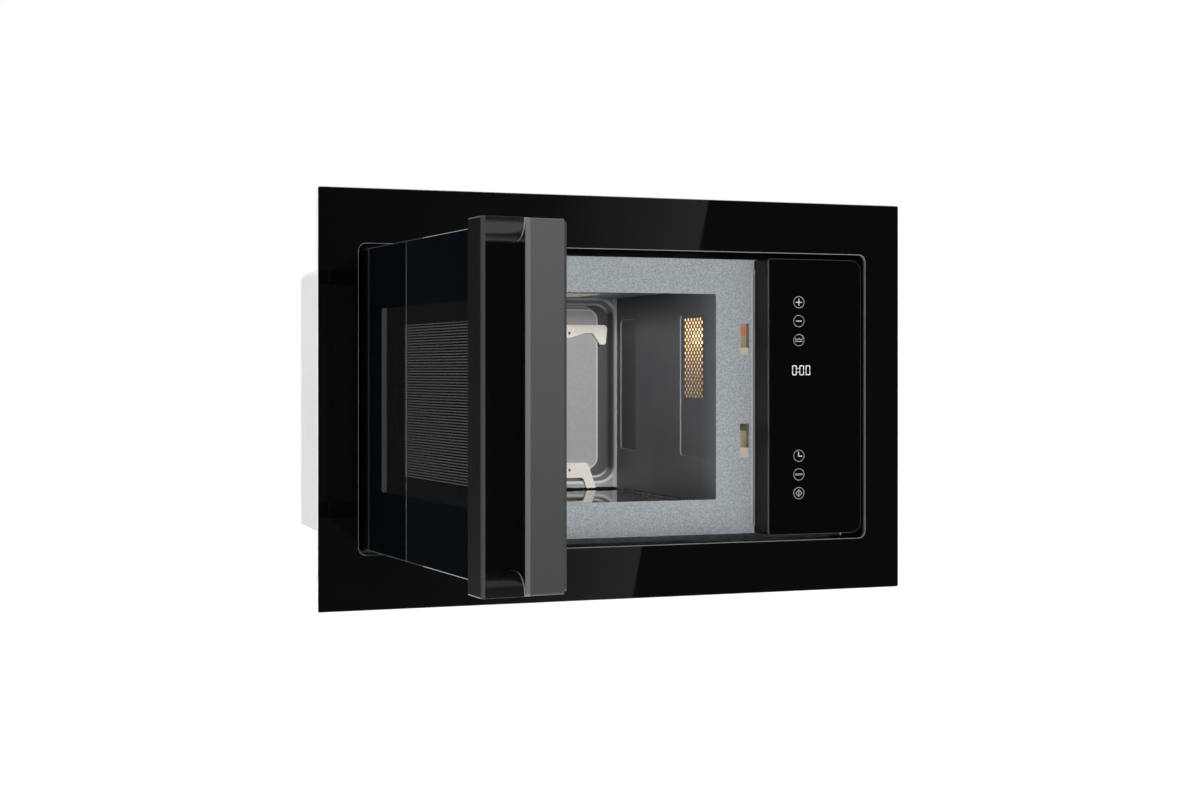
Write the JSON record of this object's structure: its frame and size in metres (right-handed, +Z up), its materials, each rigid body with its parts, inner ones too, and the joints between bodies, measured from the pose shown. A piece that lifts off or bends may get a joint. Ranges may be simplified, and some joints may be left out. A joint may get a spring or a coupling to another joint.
{
  "type": "built-in microwave oven",
  "caption": "Built-in microwave with a black glass trim, a side-hinged glass door with a bar handle, a touch panel and a flat-floored grey cavity.",
  "frame": {"origin": "middle of the trim's seat, where the flange behind the glass meets the furniture's front", "axes": "+X to the right seen from the front, +Y into the furniture, +Z up"},
  "size_m": [0.595, 0.7367, 0.388],
  "materials": {
    "black_glass": "gloss",
    "door_glass": "gloss",
    "frame_black": "satin",
    "zinc_steel": "satin",
    "front_grey": "metallic satin",
    "cavity_enamel": "satin",
    "floor_ceramic": "gloss",
    "silicone": "satin",
    "cream_moulding": "satin",
    "white_ceramic": "matt",
    "lamp_glass": "clear",
    "quartz": "frosted",
    "bright_aluminium": "bright",
    "latch_beige": "satin",
    "lever_beige": "satin",
    "fastener_steel": "bright",
    "switch_black": "matt",
    "core_iron": "lacquered",
    "copper_wire": "enamelled",
    "motor_case": "satin",
    "fan_plastic": "satin",
    "board_green": "satin",
    "display_black": "gloss",
    "housing_dark": "fine texture",
    "cabinet_white": "satin",
    "door_moulding": "satin",
    "choke_paint": "satin",
    "inner_face": "satin",
    "clear_pane": "clear",
    "handle_metal": "dark brushed",
    "handle_moulding": "satin",
    "hook_cream": "satin"
  },
  "bodies": {
    "oven": {"trim_glass": "black_glass", "control_glass": "black_glass", "trim_frame": "frame_black", "hinge_brackets": "frame_black", "trim_brackets": "zinc_steel", "waveguide": "zinc_steel", "lamp_housing": "zinc_steel", "base_plate": "zinc_steel", "magnetron_yoke": "zinc_steel", "front_plate": "front_grey", "cavity_left_wall": "cavity_enamel", "cavity_ceiling": "cavity_enamel", "cavity_right_wall": "cavity_enamel", "cavity_rear_wall": "cavity_enamel", "cavity_floor_pan": "cavity_enamel", "ceramic_floor": "floor_ceramic", "floor_seal": "silicone", "cord_gland": "silicone", "rear_rest_upper": "cream_moulding", "rear_rest_lower": "cream_moulding", "lamp_socket": "white_ceramic", "grill_holders": "white_ceramic", "lamp_bulb": "lamp_glass", "grill_tubes": "quartz", "grill_reflector": "bright_aluminium", "magnetron_core": "bright_aluminium", "capacitor": "bright_aluminium", "thermostats": "bright_aluminium", "latch_body": "latch_beige", "lever_pin": "fastener_steel", "chassis_screws": "fastener_steel", "micro_switches": "switch_black", "hv_diode": "switch_black", "transformer_core": "core_iron", "fan_motor": "core_iron", "transformer_windings": "copper_wire", "antenna_motor": "motor_case", "fan_shroud": "fan_plastic", "touch_board": "board_green", "power_board": "board_green", "filter_board": "board_green", "display_module": "display_black", "control_housing": "housing_dark", "cabinet_wrap": "cabinet_white", "rear_panel": "cabinet_white"},
    "door": {"door_glass": "door_glass", "door_frame": "door_moulding", "door_choke": "choke_paint", "door_screen": "choke_paint", "inner_window": "clear_pane", "choke_cover": "inner_face", "hinge_pins": "fastener_steel", "handle_plate": "handle_metal", "handle_caps": "handle_moulding", "handle_screws": "fastener_steel", "latch_spring": "fastener_steel"},
    "hook_bar": {"latch_hooks": "hook_cream"},
    "interlock": {"interlock_lever": "lever_beige"},
    "fan": {"fan_impeller": "fan_plastic"},
    "stirrer": {"antenna": "bright_aluminium"}
  },
  "joints": [
    {"name": "door_hinge", "type": "hinge", "parent": "oven", "child": "door", "pos_m": [-0.2424, 0.0086, 0], "axis": [0, 0, -1], "range_deg": [-84.2, 10.8]},
    {"name": "latch_slide", "type": "slide", "parent": "door", "child": "hook_bar", "axis": [0, 0, 1], "range_m": [-0.005, 0], "stiffness_N_per_m": 300, "springref_m": 0.002, "deforming": ["latch_spring"]},
    {"name": "interlock_pivot", "type": "hinge", "parent": "oven", "child": "interlock", "pos_m": [0.1418, 0.0528, -0.0567], "axis": [1, 0, 0], "range_deg": [0, 12], "stiffness_Nm_per_rad": 0.02, "springref_deg": -5.73},
    {"name": "fan_spin", "type": "hinge", "parent": "oven", "child": "fan", "pos_m": [0.1773, 0.3, 0.032], "axis": [0, 1, 0], "continuous": true},
    {"name": "antenna_spin", "type": "hinge", "parent": "oven", "child": "stirrer", "pos_m": [-0.0505, 0.17525, -0.12], "axis": [0, 0, 1], "continuous": true}
  ]
}
